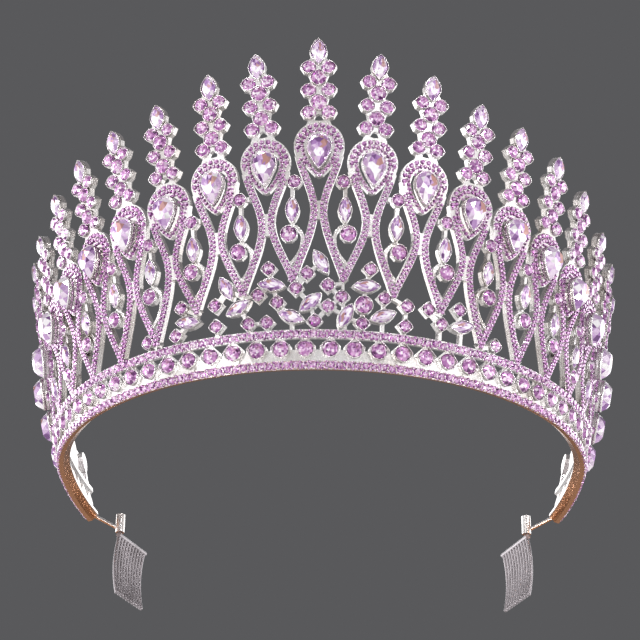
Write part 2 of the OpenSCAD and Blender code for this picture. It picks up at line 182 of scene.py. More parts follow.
def place(unit, seats):
    """Copies of a unit drawing (points p by 3) on the wall; seats has columns s, x, y, o, turn, w, l, t."""
    s, x, y, o, turn, w, l, t = np.asarray(seats, float).T
    rim, along, up, out = wall_axes(s)
    cos, sin = np.cos(turn)[:, None], np.sin(turn)[:, None]
    centre = rim + x[:, None] * along + y[:, None] * up + o[:, None] * out
    axes = np.stack([cos * along + sin * up, cos * up - sin * along, out], 1)
    scaled = unit[None] * np.stack([w, l, t], 1)[:, None, :]
    return ((centre[:, None, :] + np.einsum("npk,nkj->npj", scaled, axes)) * MM).reshape(-1, 3)


def copies(faces, count, points_each):
    """The face arrays of one unit, repeated with each copy's own point numbers."""
    shift = (np.arange(count) * points_each)[:, None, None]
    return [(f[None] + shift).reshape(-1, f.shape[1]) for f in faces]

# %% [markdown]
# ## The cut of the stones
# A rhinestone is cut like a brilliant: a flat table, a ring of stars and kites below it, a thin
# girdle, and a foil behind. What the eye sees through the table is the foil's own facets, some
# bright and some dark. Modelling light inside hundreds of stones would be slow and noisy, so the
# table is divided into the wedges that the pavilion shows, and each facet gets a mark of painted
# light, from 0 for a painted dark facet to 1 for a painted flash, and a mark for painted tan reflections.

# %% A brilliant cut of any outline
# Shares of the outline: kite corners at KITE_BASE + KITE_GAIN times the table, and the foil's wedges
# within the table. Z is a share of the thickness. STONE_MIDDLE is the point from which every facet
# looks away. Then come the kinds of facet.
KITE_BASE, KITE_GAIN, WEDGE_SHARE = 0.42, 0.62, 0.52
GIRDLE_Z, KITE_Z, STONE_MIDDLE = 0.14, 0.66, [0, 0, 0.3]
SIDE, GIRDLE, KITE, STAR, WEDGE = range(5)


def polar(outline, angles):
    """Points of a closed outline at the given angles from +y, clockwise, by straight interpolation."""
    theta = np.arctan2(outline[:, 0], outline[:, 1]) % (2 * math.pi)
    order = np.argsort(theta)
    radius = np.interp(angles, theta[order], np.hypot(*outline[order].T), period=2 * math.pi)
    return np.stack([np.sin(angles), np.cos(angles)], -1) * radius[:, None]


def brilliant(outline, k, table=0.58):
    """Points, faces and kinds of a unit stone with k kites: girdle, kites, table, foil wedges, middle."""
    main = np.arange(k) * 2 * math.pi / k
    half = main + math.pi / k
    both = np.stack([main, half], 1).ravel()
    edge = polar(outline, both)
    kites = polar(outline, half) * (KITE_BASE + table * KITE_GAIN)
    rings = [(edge, 0.0), (edge, GIRDLE_Z), (kites, KITE_Z), (polar(outline, main) * table, 1.0),
             (polar(outline, half) * table * WEDGE_SHARE, 1.0), (np.zeros((1, 2)), 1.0)]
    points = np.vstack([np.column_stack([p, np.full(len(p), z)]) for p, z in rings])
    low, top = np.arange(2 * k), np.arange(2 * k) + 2 * k
    mid, tab, pav = (np.arange(k) + 4 * k + n * k for n in range(3))
    centre = np.full(k, 7 * k)
    on = np.roll(np.arange(k), -1)
    after = np.roll(np.arange(2 * k), -1)
    quads = np.vstack([np.stack([low, top, top[after], low[after]], 1),
                       np.stack([top[::2], np.roll(mid, 1), tab, mid], 1)])
    tris = np.vstack([np.stack([top[::2], mid, top[1::2]], 1), np.stack([top[1::2], mid, top[::2][on]], 1),
                      np.stack([tab, tab[on], mid], 1), np.stack([tab, pav, tab[on]], 1),
                      np.stack([pav, pav[on], tab[on]], 1), np.stack([centre, pav[on], pav], 1)])
    faces = [facing(points, quads), facing(points, tris), low[None, :]]
    kinds = np.repeat([SIDE, KITE, GIRDLE, STAR, WEDGE, SIDE], [2 * k, k, 2 * k, k, 3 * k, 1])
    return points, faces, kinds


def facing(points, faces):
    """Turns each face so that its normal points away from the stone's middle."""
    p = points[faces]
    normal = np.cross(p[:, 1] - p[:, 0], p[:, 2] - p[:, 0])
    away = ((p.mean(1) - STONE_MIDDLE) * normal).sum(1) > 0
    return np.where(away[:, None], faces, faces[:, ::-1])


CUTS = {"pear": brilliant(PEAR, 9, table=0.64),
        "navette": brilliant(NAVETTE, 8, table=0.62),
        "round": brilliant(ROUND, 9)}
print({name: int(sum(len(f) for f in cut[1])) for name, cut in CUTS.items()}, "facets each")

# %% [markdown]
# ## Light in the foil
# The foil throws white back from the stone's lower half and a tan patch from its upper half, and
# small facets flash by chance. These reflections are painted into the colour by the marks: a painted
# highlight that slopes down the stone, a painted tan reflection in a wedge at the upper right, and a
# seeded random part of painted flashes and dark facets so that no two stones are alike.

# %% Painted facet light and painted tan reflection of each facet
random = np.random.default_rng(20)
# Painted light of plain and of girdle facets; then the share of painted tan reflections left out, and how
# much a painted tan reflection dims its facet's painted light.
PLAIN_PAINTED_LIGHT, GIRDLE_PAINTED_LIGHT = 0.50, 0.40
TAN_LEFT_OUT, TAN_DIMS = 0.25, 0.12


def light_marks(cut, count, glare, scatter, tan):
    """Painted light rises towards the lower half by glare and varies by scatter; a painted tan reflection
    marks the upper right.
    """
    points, faces, kinds = cut
    centre = np.vstack([points[f].mean(1) for f in faces])
    size = np.abs(points[:, :2]).max(0)
    x, y = (centre[:, :2] / size).T
    # Rises down the stone and a little to the left, from half a step below plain to a full step above.
    lower = np.clip(-y * 2.2 - x * 0.5 + 0.1, -0.5, 1)
    slope = np.where(kinds == WEDGE, PLAIN_PAINTED_LIGHT + glare * lower, PLAIN_PAINTED_LIGHT)
    slope = np.where(kinds <= GIRDLE, GIRDLE_PAINTED_LIGHT, slope)
    painted_facet_light = slope[None] + scatter * random.normal(0, 1, (count, len(slope)))
    sector = ((kinds >= STAR) & (y > -0.02) & (x > 0.0)).astype(float)
    painted_tan_reflection = sector[None] * tan * (random.uniform(0, 1, (count, len(slope))) > TAN_LEFT_OUT)
    painted_facet_light = painted_facet_light - painted_tan_reflection * TAN_DIMS
    return {"painted_facet_light": np.clip(painted_facet_light, 0, 1).ravel(), "painted_tan_reflection": np.clip(painted_tan_reflection, 0, 1).ravel()}


def in_mesh_order(marks, cut, count):
    """Marks ordered as the mesh has its faces: all quads of all copies, then all triangles, then bases."""
    sizes = [len(f) for f in cut[1]]
    splits = np.cumsum(sizes)[:-1]
    return {name: np.concatenate([part.ravel() for part in np.split(v.reshape(count, -1), splits, axis=1)])
            for name, v in marks.items()}


def set_stones(name, groups, material):
    """One piece from several groups of (cut, seats, glare, scatter, tan)."""
    points, faces, marks, start = [], [], [], 0
    for cut, seats, glare, scatter, tan in groups:
        count = len(seats)
        points.append(place(cut[0], seats))
        faces += [f + start for f in copies(cut[1], count, len(cut[0]))]
        marks.append(in_mesh_order(light_marks(cut, count, glare, scatter, tan), cut, count))
        start += count * len(cut[0])
    joined = {key: np.concatenate([m[key] for m in marks]) for key in ("painted_facet_light", "painted_tan_reflection")}
    return mesh_piece(name, np.vstack(points), faces, material, joined)


print("facet marks ready")

# %% [markdown]
# ## The finishes
# Plated silver is a mirror with a fine cast grain and a little grey in its hollows. It is one node
# group that gives grain and tarnish, used at two scales: bright on the crown, soft on the combs,
# where the same silver is given much darker colours as painted shade. Two masks darken the crown's
# silver: painted shade in ribs on the plates' cut edges, and under the rim a warm brown that is a
# painted reflection of a brown surface below. Crystal is a coloured foil under a clear polished coat,
# so it gets some metal and a full coat, and its colour also carries painted reflections.

# %% Shader groups and materials
def node_group(name, inputs, outputs):
    """An empty shader node group with float inputs and outputs, and its two end nodes."""
    group = bpy.data.node_groups.new(name, "ShaderNodeTree")
    for label, value in inputs.items():
        socket = group.interface.new_socket(label, in_out="INPUT", socket_type="NodeSocketFloat")
        socket.default_value = value
    for label in outputs:
        group.interface.new_socket(label, in_out="OUTPUT", socket_type="NodeSocketFloat")
    return group, group.nodes.new("NodeGroupInput"), group.nodes.new("NodeGroupOutput")


def wire(tree, source, target):
    tree.links.new(source, target)


def cast_grain():
    """Grain: fine noise of the casting. Tarnish: wide soft clouds, sharpened to patches."""
    group, ends_in, ends_out = node_group("cast_grain", {"Grain Scale": 900, "Cloud Scale": 60},
                                          ["Grain", "Tarnish"])
    place_of = group.nodes.new("ShaderNodeTexCoord")
    fine, cloud = group.nodes.new("ShaderNodeTexNoise"), group.nodes.new("ShaderNodeTexNoise")
    fine.inputs["Detail"].default_value = 3
    cloud.inputs["Detail"].default_value = 4
    patch = group.nodes.new("ShaderNodeMapRange")
    patch.inputs["From Min"].default_value = 0.42
    patch.inputs["From Max"].default_value = 0.72
    for noise, label in ((fine, "Grain Scale"), (cloud, "Cloud Scale")):
        wire(group, place_of.outputs["Object"], noise.inputs["Vector"])
        wire(group, ends_in.outputs[label], noise.inputs["Scale"])
    wire(group, fine.outputs["Fac"], ends_out.inputs["Grain"])
    wire(group, cloud.outputs["Fac"], patch.inputs["Value"])
    wire(group, patch.outputs["Result"], ends_out.inputs["Tarnish"])
    return group


GRAIN = cast_grain()


def ramp(tree, source, stops):
    """A colour ramp fed by source; stops are (place, colour)."""
    node = tree.nodes.new("ShaderNodeValToRGB")
    while len(node.color_ramp.elements) < len(stops):
        node.color_ramp.elements.new(0.5)
    for element, (at, colour) in zip(node.color_ramp.elements, stops):
        element.position = at
        element.color = (*colour, 1)
    wire(tree, source, node.inputs["Fac"])
    return node.outputs["Color"]


def calc(tree, operation, a, b=None):
    """One maths node; a and b are sockets or numbers."""
    node = tree.nodes.new("ShaderNodeMath")
    node.operation = operation
    for n, value in enumerate((a, b)):
        if isinstance(value, (int, float)):
            node.inputs[n].default_value = value
        elif value is not None:
            wire(tree, value, node.inputs[n])
    return node.outputs["Value"]


# Where the painted reflection fades in: heights above the rim in metres, and how far a face looks down.
REFLECTION_Z, REFLECTION_DOWN = (0.0024, 0.0017), (-0.15, -0.4)


def painted_rim_reflection(tree):
    """1 on faces that look down at the foot of the lower rail, where a brown reflection from below is
    painted; 0 elsewhere.
    """
    where, face = tree.nodes.new("ShaderNodeTexCoord"), tree.nodes.new("ShaderNodeNewGeometry")
    masks = []
    for source, (start, end) in ((where.outputs["Object"], REFLECTION_Z), (face.outputs["Normal"], REFLECTION_DOWN)):
        split, fade = tree.nodes.new("ShaderNodeSeparateXYZ"), tree.nodes.new("ShaderNodeMapRange")
        fade.inputs["From Min"].default_value, fade.inputs["From Max"].default_value = start, end
        wire(tree, source, split.inputs["Vector"])
        wire(tree, split.outputs["Z"], fade.inputs["Value"])
        masks.append(fade.outputs["Result"])
    return calc(tree, "MULTIPLY", *masks)


# A face is an edge when its normal turns this far from the wall's; the painted shade ribs' distance, lift
# and depth of shade.
EDGE_DOT, RIB_STEP, RIB_LIFT, RIB_SHADE = 0.55, 0.55 * MM, 1.3, 0.24


def painted_edge_shade(tree):
    """Painted shade, high on the cut edges of the plates in fine painted ribs along them; 0 on their faces.
    """
    where, face = tree.nodes.new("ShaderNodeTexCoord"), tree.nodes.new("ShaderNodeNewGeometry")
    at = tree.nodes.new("ShaderNodeSeparateXYZ")
    flat, unit, dot = (tree.nodes.new("ShaderNodeVectorMath") for _ in range(3))
    wire(tree, where.outputs["Object"], at.inputs["Vector"])
    flat.operation, unit.operation, dot.operation = "MULTIPLY", "NORMALIZE", "DOT_PRODUCT"
    wire(tree, where.outputs["Object"], flat.inputs[0])
    flat.inputs[1].default_value = (1, 1, 0)
    wire(tree, flat.outputs["Vector"], unit.inputs[0])
    wire(tree, unit.outputs["Vector"], dot.inputs[0])
    wire(tree, face.outputs["Normal"], dot.inputs[1])
    edge = calc(tree, "LESS_THAN", calc(tree, "ABSOLUTE", dot.outputs["Value"]), EDGE_DOT)
    above = calc(tree, "GREATER_THAN", at.outputs["Z"], BAND_TOP * MM)
    x, y, z = (at.outputs[axis] for axis in "XYZ")
    squares = calc(tree, "ADD", calc(tree, "MULTIPLY", x, x), calc(tree, "MULTIPLY", y, y))
    reach = calc(tree, "MULTIPLY", calc(tree, "SQRT", squares), math.cos(FLARE))
    deep = calc(tree, "SUBTRACT", reach, calc(tree, "MULTIPLY", z, math.sin(FLARE)))
    rib = calc(tree, "SINE", calc(tree, "MULTIPLY", deep, 2 * math.pi / RIB_STEP))
    shade = calc(tree, "MULTIPLY", calc(tree, "ADD", rib, RIB_LIFT), RIB_SHADE)
    return calc(tree, "MULTIPLY", calc(tree, "MULTIPLY", edge, above), shade)


RELIEF = 0.1 * MM


def silver(name, bright, dull, rough, bump, grain_scale, cloud_scale, masks=()):
    """Metal from bright to dull by the tarnish mask, with roughness and bump from the grain.

    The masks are pairs of a mask function and the colour that it lays over the metal: painted shade on edges
    and a painted reflection under the rim.
    """
    material = bpy.data.materials.new(name)
    material.use_nodes = True
    tree = material.node_tree
    shader = tree.nodes["Principled BSDF"]
    shader.inputs["Metallic"].default_value = 1.0
    grain = tree.nodes.new("ShaderNodeGroup")
    grain.node_tree = GRAIN
    grain.inputs["Grain Scale"].default_value = grain_scale
    grain.inputs["Cloud Scale"].default_value = cloud_scale
    plating_and_painted_light = ramp(tree, grain.outputs["Tarnish"], [(0, bright), (1, dull)])
    for mask, colour in masks:
        blend = tree.nodes.new("ShaderNodeMix")
        blend.data_type = "RGBA"
        wire(tree, mask(tree), blend.inputs["Factor"])
        wire(tree, plating_and_painted_light, blend.inputs["A"])
        blend.inputs["B"].default_value = (*colour, 1)
        plating_and_painted_light = blend.outputs["Result"]
    wire(tree, plating_and_painted_light, shader.inputs["Base Color"])
    spread = tree.nodes.new("ShaderNodeMapRange")
    spread.inputs["To Min"].default_value, spread.inputs["To Max"].default_value = rough
    wire(tree, grain.outputs["Grain"], spread.inputs["Value"])
    wire(tree, spread.outputs["Result"], shader.inputs["Roughness"])
    relief = tree.nodes.new("ShaderNodeBump")
    relief.inputs["Strength"].default_value = bump
    relief.inputs["Distance"].default_value = RELIEF
    wire(tree, grain.outputs["Grain"], relief.inputs["Height"])
    wire(tree, relief.outputs["Normal"], shader.inputs["Normal"])
    return material


# Colour ramps of the crystals: the lilac foil colour, with painted dark reflections at the low end and
# painted white highlights at the high end; the pale ramp is paler and reaches painted white sooner. The last
# colour is that of the painted tan reflection.
LILAC_AND_GLINT_RAMP = [(0.0, (0.11, 0.025, 0.12)), (0.22, (0.27, 0.08, 0.28)), (0.45, (0.50, 0.20, 0.49)),
        (0.68, (0.76, 0.46, 0.74)), (0.88, (1.0, 0.92, 0.98))]
PALE_LILAC_AND_GLINT_RAMP = [(0.0, (0.15, 0.05, 0.20)), (0.2, (0.37, 0.18, 0.46)), (0.43, (0.66, 0.46, 0.72)),
             (0.64, (0.92, 0.82, 0.92)), (0.8, (1.0, 0.98, 1.0))]
TAN_REFLECTION = (0.50, 0.25, 0.19)


def crystal(name, foil, metal, rough):
    """Lilac foil colour with painted reflections by the painted facet light mark, a painted tan reflection
    by its own mark, a clear coat over both.
    """
    material = bpy.data.materials.new(name)
    material.use_nodes = True
    tree = material.node_tree
    shader = tree.nodes["Principled BSDF"]
    painted_facet_light, painted_tan_reflection = tree.nodes.new("ShaderNodeAttribute"), tree.nodes.new("ShaderNodeAttribute")
    painted_facet_light.attribute_name, painted_tan_reflection.attribute_name = "painted_facet_light", "painted_tan_reflection"
    blend = tree.nodes.new("ShaderNodeMix")
    blend.data_type = "RGBA"
    wire(tree, painted_tan_reflection.outputs["Fac"], blend.inputs["Factor"])
    wire(tree, ramp(tree, painted_facet_light.outputs["Fac"], foil), blend.inputs["A"])
    blend.inputs["B"].default_value = (*TAN_REFLECTION, 1)
    wire(tree, blend.outputs["Result"], shader.inputs["Base Color"])
    shader.inputs["Metallic"].default_value = metal
    shader.inputs["Roughness"].default_value = rough
    shader.inputs["IOR"].default_value = 1.6
    shader.inputs["Coat Weight"].default_value = 1.0
    shader.inputs["Coat Roughness"].default_value = 0.02
    return material


# Painted shade for the plates' cut edges, and a painted brown reflection for the faces under the rim.
EDGE_PAINTED_SHADE, PAINTED_FLOOR_REFLECTION = (0.20, 0.18, 0.17), (0.42, 0.17, 0.06)
SILVER = silver("plated_silver", bright=(0.90, 0.88, 0.87), dull=(0.62, 0.57, 0.54), rough=(0.16, 0.38),
                bump=0.3, grain_scale=1400, cloud_scale=70,
                masks=((painted_edge_shade, EDGE_PAINTED_SHADE), (painted_rim_reflection, PAINTED_FLOOR_REFLECTION)))
# The combs are the same silver in shade: their darker colours are painted shade.
SHADED_COMB_SILVER = silver("comb_silver_painted_shade", bright=(0.31, 0.285, 0.30), dull=(0.23, 0.21, 0.22), rough=(0.3, 0.4),
                     bump=0.02, grain_scale=2200, cloud_scale=120)
CRYSTAL = crystal("lilac_crystal", LILAC_AND_GLINT_RAMP, metal=0.6, rough=0.08)
PALE_CRYSTAL = crystal("pale_crystal", PALE_LILAC_AND_GLINT_RAMP, metal=0.5, rough=0.06)
PAVE_CRYSTAL = crystal("pave_crystal", LILAC_AND_GLINT_RAMP, metal=0.6, rough=0.12)
for name, node in nodes.items():
    finish = SHADED_COMB_SILVER if name.startswith("comb") else SILVER if name == "frame" else CRYSTAL
    node.data.materials.clear()
    node.data.materials.append(finish)
print("materials:", [m.name for m in (SILVER, SHADED_COMB_SILVER, CRYSTAL, PALE_CRYSTAL, PAVE_CRYSTAL)])

# %% [markdown]
# ## The main stones
# Each field of plain solids is replaced by the same stones, cut. A seat repeats the place, width,
# length and thickness that the solid has, so the outline stays and only the facets are new.

# %% Seats of the main stones
# O is a place out of the plate, T a thickness, W a width, L a length and D a diameter.
STONE_O, STONE_T, PEAR_T, CUP_H, END_CUP_H = -0.3, 1.3, 2.5, 1.8, 1.4
PEAR_W, PEAR_L, TIP_W, TIP_L, ROUND_D, SMALL_D, LARGE_D = 6.0, 8.8, 4.0, 6.6, 3.9, 3.0, 4.3
DROP_D, DROP_X, SCROLL_X, CLEAR = 3.1, 0.6, 0.9, 0.2
MARQUISE_W, MARQUISE_L, END_S = 3.1, 6.7, HALF_LEN - 2.4
SMALL, LONG, LARGE = 0, 1, 2
# The garland's cups: place along the rim, height above it, turn in degrees, kind.
GARLAND = np.array([
    [-44.5, 12.4, 0, SMALL], [-36, 12.2, 0, SMALL], [-34, 19, 0, SMALL], [-32.5, 15, -10, LONG],
    [-25, 18, 0, SMALL], [-25, 12.6, 0, SMALL], [-22, 22, -65, LONG], [-19.2, 16.6, 25, LONG],
    [-16.8, 12.2, 0, SMALL], [-14.3, 19.4, 0, SMALL], [-12.3, 12.2, 0, SMALL],
    [-11.6, 26, 0, SMALL], [-11, 21.8, -8, LONG], [-9.7, 17.2, 0, SMALL], [-6.4, 13.4, -20, LONG],
    [-5.2, 20.6, 0, SMALL], [-2.6, 24.4, 0, SMALL], [-1.8, 17, 40, LONG], [-0.8, 12.2, 0, SMALL],
    [0.6, 27.4, -60, LONG], [2.3, 21.4, 0, SMALL], [2.4, 16, 0, SMALL], [5.6, 18.4, 0, SMALL],
    [6.6, 13.6, 65, LONG], [10.6, 12, 0, SMALL], [10.9, 16.7, 0, LARGE], [11.4, 21.6, 3, LONG],
    [12.2, 26, 0, SMALL], [15.8, 18.8, 0, SMALL], [15.6, 14.2, 20, LONG], [21.4, 17.4, 0, SMALL],
    [21.2, 12.3, 0, SMALL], [26.8, 17.6, 0, SMALL], [30.4, 14.2, 0, SMALL], [35, 19, 0, SMALL],
    [36.2, 14.9, 15, LONG], [46.2, 12.4, 0, SMALL]])


def sides(last):
    """Every lens from the middle to the last, on both sides."""
    return [(j, side) for j in range(last + 1) for side in (-1, 1)]


def lens_s(j, side):
    """Place along the rim of a lens's middle."""
    return side * (j + 0.5) * PITCH


def spire_seats(x, heights, w, l, t):
    """Seats up every spire, in its middle or, with x, in pairs left and right of it."""
    rows = []
    for i in BAYS:
        for v in heights:
            for side in ((-1, 1) if x else (1,)):
                px, py = spire_point(i, side * x, v)
                rows.append([i * PITCH, px, py, STONE_O, lean(i), w, l, t])
    return rows


def lens_seats(last, dx, dv, w, l, t):
    """Seats in the lenses: dx towards the scroll's side, dv up from the drop; dv may depend on the lens."""
    return [[lens_s(j, side), side * dx, drop_v(j) + dv(j), STONE_O, 0, w, l, t]
            for j, side in sides(last)]


def scroll_dv(j):
    """Height of a lens's round stone from its drop: lower in a taller lens, but clear of the marquise."""
    return -max(SCROLL_DV * lens_k(j), MARQUISE_DV + (MARQUISE_L + ROUND_D) / 2 + CLEAR)


def garland_seats(kind, w, l):
    """Seats of the garland's cups of one kind, each on the flat plate of its nearest bay."""
    g = GARLAND[GARLAND[:, 3] == kind]
    bay = np.round(g[:, 0] / PITCH)
    x = (g[:, 0] - bay * PITCH) * fan(g[:, 0], g[:, 1])
    turn = np.radians(g[:, 2]) + (math.pi / 2 if kind == LONG else 0)
    rest = [np.full(len(g), v) for v in (w, l, STONE_T)]
    return np.column_stack([bay * PITCH, x, g[:, 1], np.full(len(g), STONE_O), turn, *rest])


def row_seats(w):
    """Seats of the band's row, each on the flat plate of its nearest bay."""
    k = np.arange(ROW_HALF)
    s = np.concatenate([-(k + 0.5), k + 0.5]) * ROW_PITCH
    bay = np.round(s / PITCH)
    x = (s - bay * PITCH) * fan(s, ROW_V)
    rest = [np.full(len(s), v) for v in (ROW_V, STONE_O, 0, w, w, STONE_T)]
    return np.column_stack([bay * PITCH, x, *rest])


PEARS = [[i * PITCH, 0, HALO_V[abs(i)], STONE_O + CUP_H, 0, PEAR_W, PEAR_L, PEAR_T] for i in BAYS]
PEARS += [[side * END_S, 0, HALO_V[-1], STONE_O + END_CUP_H, 0, PEAR_W, PEAR_L, PEAR_T]
          for side in (-1, 1)]
DROPS = [[lens_s(j, side), -side * DROP_X * (j == 0), drop_v(j), STONE_O, 0, DROP_D, DROP_D, STONE_T]
         for j, side in sides(LAST_DROP)]
SCROLL_ROUNDS = lens_seats(LAST_SCROLL, SCROLL_X, scroll_dv, ROUND_D, ROUND_D, STONE_T)
HANGING = lens_seats(LAST_MARQUISE, 0, lambda j: -MARQUISE_DV, MARQUISE_W, MARQUISE_L, STONE_T)
TIPS = spire_seats(0, [TIP_V], TIP_W, TIP_L, STONE_T)
ROUNDS = spire_seats(0, ROUND_V, ROUND_D, ROUND_D, STONE_T)
print("seats:", len(PEARS), len(TIPS), len(ROUNDS), len(DROPS) + len(SCROLL_ROUNDS), len(HANGING))

# %% [markdown]
# ## Setting the main stones
# On the real crown each stone is glued into its cup. The cut stones could be separate objects, but a
# few hundred objects slow everything down, so each field is one piece that takes the place of the
# plain field it replaces. The numbers of a group are glare, scatter and tan of the painted light:
# the painted highlight's slope, the random spread of painted facet light and the share of painted
# tan reflection. Pears and navettes get the strongest painted slope from tan to white.

# %% Set the main stones
pear, navette, round_cut = CUTS["pear"], CUTS["navette"], CUTS["round"]
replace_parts(set_stones("cut_pears", [(pear, PEARS, 0.74, 0.22, 0.85)], PALE_CRYSTAL),
            *[name for name in nodes if name.startswith("pear_")])
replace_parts(set_stones("cut_tips", [(navette, TIPS, 0.5, 0.2, 0.7)], PALE_CRYSTAL), "tip_stones")
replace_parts(set_stones("cut_spire_rounds", [(round_cut, ROUNDS, 0.2, 0.27, 0.2)], CRYSTAL), "spire_stones")
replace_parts(set_stones("cut_drops", [(round_cut, DROPS + SCROLL_ROUNDS, 0.26, 0.27, 0.25)], CRYSTAL),
            "drop_stones")
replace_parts(set_stones("cut_marquises", [(navette, HANGING, 0.5, 0.2, 0.8)], PALE_CRYSTAL),
            "hanging_stones")
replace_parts(set_stones("cut_garland", [
    (round_cut, garland_seats(SMALL, SMALL_D, SMALL_D), 0.2, 0.27, 0.25),
    (round_cut, garland_seats(LARGE, LARGE_D, LARGE_D), 0.1, 0.25, 0.4)], CRYSTAL), "garland_stones")
set_stones("cut_garland_long", [
    (navette, garland_seats(LONG, MARQUISE_W, MARQUISE_L), 0.45, 0.24, 0.8)], PALE_CRYSTAL)
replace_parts(set_stones("cut_band_row", [(round_cut, row_seats(ROUND_D), 0.24, 0.26, 0.25)], CRYSTAL),
            "band_stones")

# %% [markdown]
# ## The kite cups of the spires
# Three pairs of pointed cups flank each spire, and each holds a small round stone. The plate already
# has their outline. The stones are added here, and the next cell gives each cup its raised rim.

# %% Stones of the kite cups
KITE_D, KITE_T = 3.5, 1.0
KITES = spire_seats(KITE_X, KITE_V, KITE_D, KITE_D, KITE_T)
set_stones("kite_stones", [(round_cut, KITES, 0.2, 0.27, 0.15)], CRYSTAL)

# %% [markdown]
# ## Bezels
# Every cup has a thin raised wall round its stone. One wall section is swept round a closed outline:
# outer foot, outer shoulder, crest, inner shoulder and inner foot.

# %% Walls swept round an outline
def lengths(path):
    """How far each point of a flat path is from its start, along the path."""
    return np.concatenate([[0], np.cumsum(np.hypot(*np.diff(path, axis=0).T))])


def points_at(path, at):
    """Points of a flat path at the given lengths from its start."""
    length = lengths(path)
    return np.stack([np.interp(at, length, path[:, c]) for c in (0, 1)], 1)


def smooth_loop(points, count):
    """A closed outline resampled to count points at equal steps of its length."""
    closed = np.vstack([points, points[:1]])
    return points_at(closed, np.linspace(0, lengths(closed)[-1], count, endpoint=False))


def smooth_path(points, count):
    """An open path through the points, rounded by repeated corner cutting, at count equal steps."""
    for _ in range(3):
        cut = np.stack([points[:-1] * 0.75 + points[1:] * 0.25, points[:-1] * 0.25 + points[1:] * 0.75], 1)
        points = np.vstack([points[:1], cut.reshape(-1, 2), points[-1:]])
    return points_at(points, np.linspace(0, lengths(points)[-1], count))


def outward(points, closed=True):
    """Unit normals of a flat path, to the right of its direction."""
    if closed:
        along = np.roll(points, -1, 0) - np.roll(points, 1, 0)
    else:
        along = np.gradient(points, axis=0)
    along /= np.hypot(*along.T)[:, None]
    return np.stack([along[:, 1], -along[:, 0]], 1)


def wall_unit(outline, section):
    """A wall round a closed outline: section rows are (out from the outline, height), foot to foot."""
    after = np.roll(outline, -1, 0)
    area = 0.5 * np.sum(outline[:, 0] * after[:, 1] - after[:, 0] * outline[:, 1])
    outline = outline if area > 0 else outline[::-1]
    normal = outward(outline)
    section = np.asarray(section, float)
    n, m = len(outline), len(section)
    flat = outline[:, None, :] + normal[:, None, :] * section[None, :, :1]
    points = np.concatenate([flat, np.broadcast_to(section[None, :, 1:], (n, m, 1))], 2).reshape(-1, 3)
    i, j = np.meshgrid(np.arange(n), np.arange(m), indexing="ij")
    a, b = i * m + j, i * m + (j + 1) % m
    c, d = ((i + 1) % n) * m + (j + 1) % m, ((i + 1) % n) * m + j
    return points, [np.stack([a, d, c, b], -1).reshape(-1, 4)]


BEZEL = [(0.0, 0.0), (0.02, 0.55), (-0.06, 0.68), (-0.16, 0.6), (-0.2, 0.0)]
PEAR_BEZEL = [(0.06, -0.4), (0.08, 0.35), (-0.06, 0.55), (-0.2, 0.42), (-0.24, 0.0)]
RIDGE = [(0.13, 0.0), (0.11, 0.3), (0.0, 0.4), (-0.11, 0.3), (-0.13, 0.0)]


def add_walls(name, groups):
    """One silver piece from groups of (unit, seats); a seat's sizes here are plain factors."""
    points, faces, start = [], [], 0
    for (unit, unit_faces), seats in groups:
        points.append(place(unit, seats))
        faces += [f + start for f in copies(unit_faces, len(seats), len(unit))]
        start += len(seats) * len(unit)
    return mesh_piece(name, np.vstack(points), faces, SILVER, smooth=True)


def unit_seats(seats, tall=1.0, out=-0.12):
    """The same seats for units drawn at their real size: factors 1, tall in height, moved by out."""
    seats = np.array(seats, float)
    seats[:, 3] += out
    seats[:, 5:7], seats[:, 7] = 1, tall
    return seats


def grown(outline, w, l, by):
    """A unit outline at w by l, each made larger by the same measure."""
    return outline * [w + by, l + by]


def kite_cup(side):
    """A pointed cup round a kite stone: round near the spire, a point on its outer side."""
    right = [[-1.5, 1.1], [-0.2, 1.85], [1.1, 1.5], [1.9, 0.65], [2.3, 0.1], [1.5, -1.25],
             [0.2, -1.85], [-1.3, -1.3]]
    return smooth_loop(np.array(right) * [side, 1], 22)


# Outlines of the cups. After the stone's size: how much wider the cup is, then how many points.
row_cup = smooth_loop(mirrored([[0, 3.1], [0.5, 2.6], [2.55, 0.5], [2.45, -0.4], [1.6, -1.7],
                                [0, -2.3]]), 30)
navette_cup = smooth_loop(grown(NAVETTE, TIP_W, TIP_L, 0.55), 28)
marquise_cup = smooth_loop(grown(NAVETTE, MARQUISE_W, MARQUISE_L, 0.5), 28)
round_cup = smooth_loop(grown(ROUND, ROUND_D, ROUND_D, 0.42), 20)
small_cup = smooth_loop(np.array([[0, 2.05], [1.45, 1.0], [2.05, 0], [1.45, -1.0], [0, -2.05],
                                  [-1.45, -1.0], [-2.05, 0], [-1.45, 1.0]]) * 0.97, 24)
drop_cup = smooth_loop(grown(ROUND, DROP_D, DROP_D, 0.42), 20)
large_cup = smooth_loop(grown(ROUND, LARGE_D, LARGE_D, 0.4), 20)
pear_cup = smooth_loop(grown(PEAR, PEAR_W, PEAR_L, 0.5), 36)
add_walls("bezels_spires", [
    (wall_unit(navette_cup, BEZEL), unit_seats(TIPS)),
    (wall_unit(round_cup, BEZEL), unit_seats(ROUNDS, tall=0.8)),
    (wall_unit(kite_cup(-1), BEZEL), unit_seats(KITES[::2])),
    (wall_unit(kite_cup(1), BEZEL), unit_seats(KITES[1::2]))])
add_walls("bezels_lenses", [
    (wall_unit(drop_cup, BEZEL), unit_seats(DROPS)),
    (wall_unit(round_cup, BEZEL), unit_seats(SCROLL_ROUNDS)),
    (wall_unit(marquise_cup, BEZEL), unit_seats(HANGING))])
